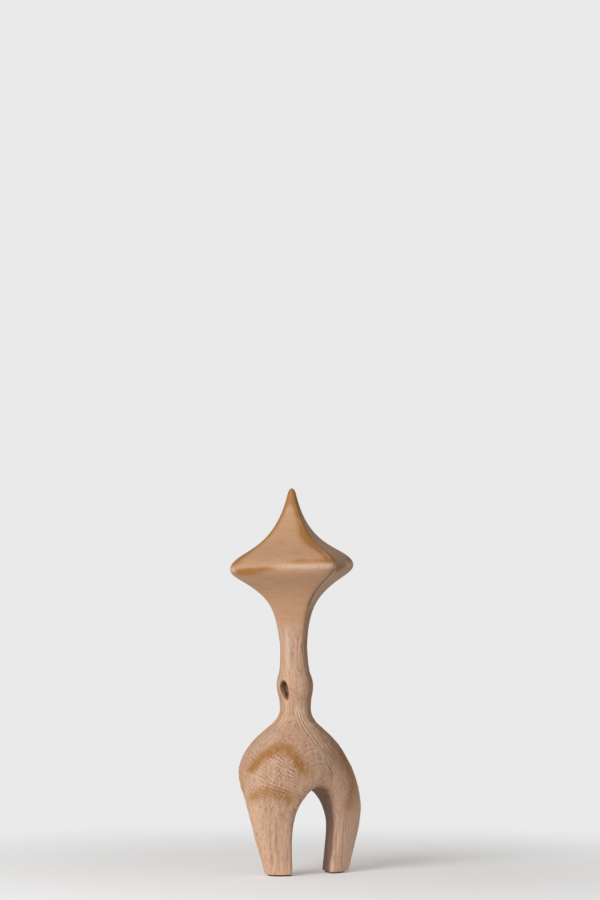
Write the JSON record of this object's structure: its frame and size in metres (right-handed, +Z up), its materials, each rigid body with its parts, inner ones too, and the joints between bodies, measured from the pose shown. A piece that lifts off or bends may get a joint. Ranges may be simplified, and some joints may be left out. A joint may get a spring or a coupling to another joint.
{
  "type": "fertility doll",
  "caption": "Carved wooden standing doll with a four-cornered spired head, a slim neck, a small chest with an oval recess, rounded hips and an arch between its legs.",
  "frame": {"origin": "on the surface the doll stands on, below the centre of its head", "axes": "+Z up along the neck to the tip of the head, -Y the doll's front, +X the doll's left"},
  "size_m": [0.1428, 0.1426, 0.38],
  "materials": {
    "wood": "hand-carved pinkish-beige wood, matte on the body and satin on the head, with orange-brown rubbed edges",
    "felt": "thin brown pressed felt"
  },
  "bodies": {
    "root": {"figure": "wood", "foot_pad_right": "felt", "foot_pad_left": "felt"}
  },
  "joints": []
}
